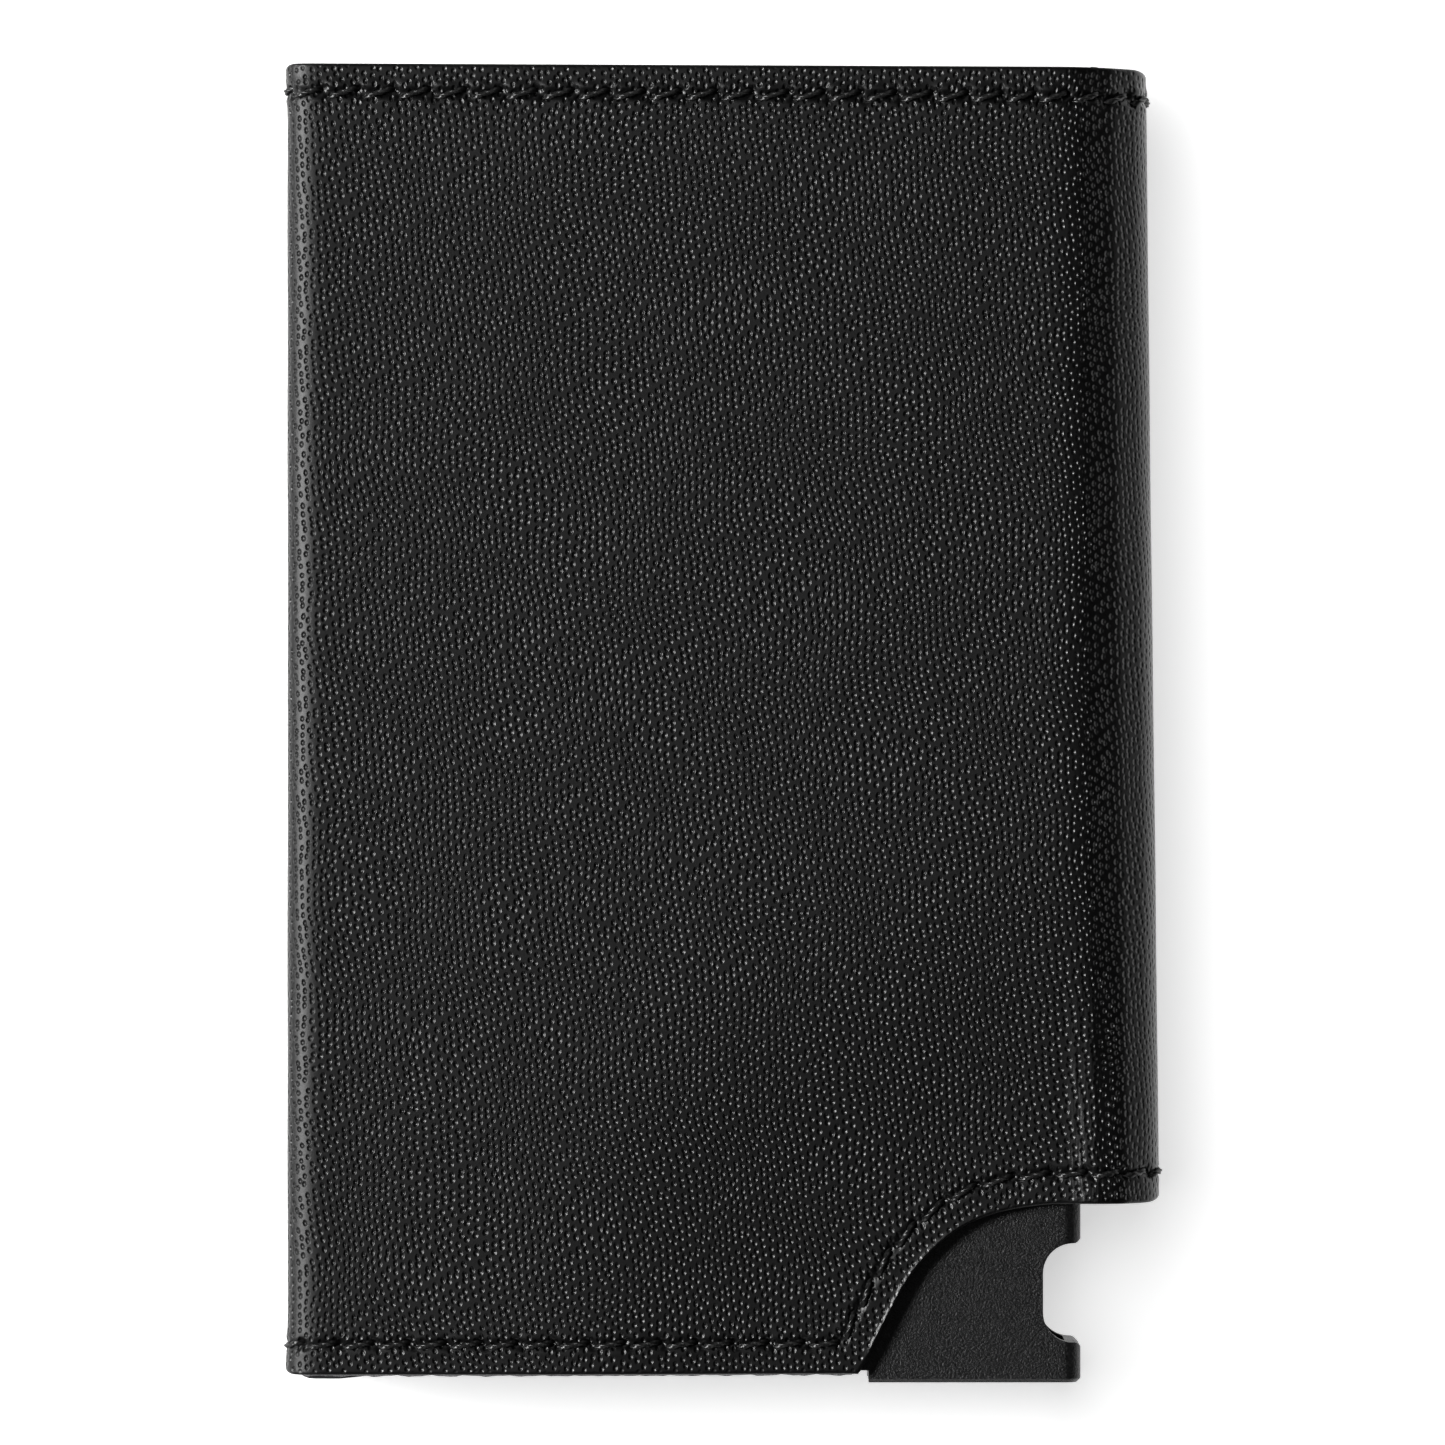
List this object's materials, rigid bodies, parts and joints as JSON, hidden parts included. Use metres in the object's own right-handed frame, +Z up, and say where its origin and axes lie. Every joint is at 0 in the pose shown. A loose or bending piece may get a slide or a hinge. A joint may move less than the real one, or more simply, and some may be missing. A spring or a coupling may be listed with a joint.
{
  "type": "minimalist wallet",
  "caption": "Leather book-style wallet bonded round a slim aluminium card case, with a thumb notch at its lower corner, a slip pocket in the flap and a creased, bulging spine.",
  "frame": {"origin": "under the middle of the closed wallet's bounding box, on its back face", "axes": "+X towards the spine, +Y towards the open end of the card case, +Z up through the front flap"},
  "size_m": [0.0668, 0.1018, 0.0136],
  "materials": {
    "case_metal": "satin black anodised, fine grained",
    "plug_metal": "satin black anodised",
    "spring_steel": "brushed",
    "grip_felt": "short felt",
    "bond_pad": "matt",
    "cover_leather": "black, pebbled, semi-matt",
    "pocket_leather": "black, smooth",
    "board": "pressed fibre board",
    "lining_suede": "black microfibre with a grey raw edge",
    "thread": "black, waxed and twisted"
  },
  "bodies": {
    "root": {"card_case": "case_metal", "end_plug": "plug_metal", "pressure_spring": "spring_steel", "back_grip_strips": "grip_felt", "front_grip_strips": "grip_felt", "case_bond_pad": "bond_pad", "back_leather": "cover_leather", "back_board": "board", "back_lining": "lining_suede", "back_top_seam": "thread", "back_bottom_seam": "thread"},
    "spine": {"spine_leather": "cover_leather", "spine_lining": "lining_suede", "spine_top_seam": "thread", "spine_cutout_seam": "thread"},
    "front_flap": {"front_leather": "cover_leather", "front_board": "board", "front_lining": "lining_suede", "front_pocket_panel": "pocket_leather", "front_top_seam": "thread", "front_bottom_seam": "thread"}
  },
  "joints": [
    {"name": "back_crease", "type": "hinge", "parent": "root", "child": "spine", "pos_m": [0.0304, 0, 0.0008], "axis": [0, 1, 0], "range_deg": [0, 90]},
    {"name": "front_crease", "type": "hinge", "parent": "spine", "child": "front_flap", "pos_m": [0.0304, 0, 0.0128], "axis": [0, 1, 0], "range_deg": [0, 90]}
  ]
}
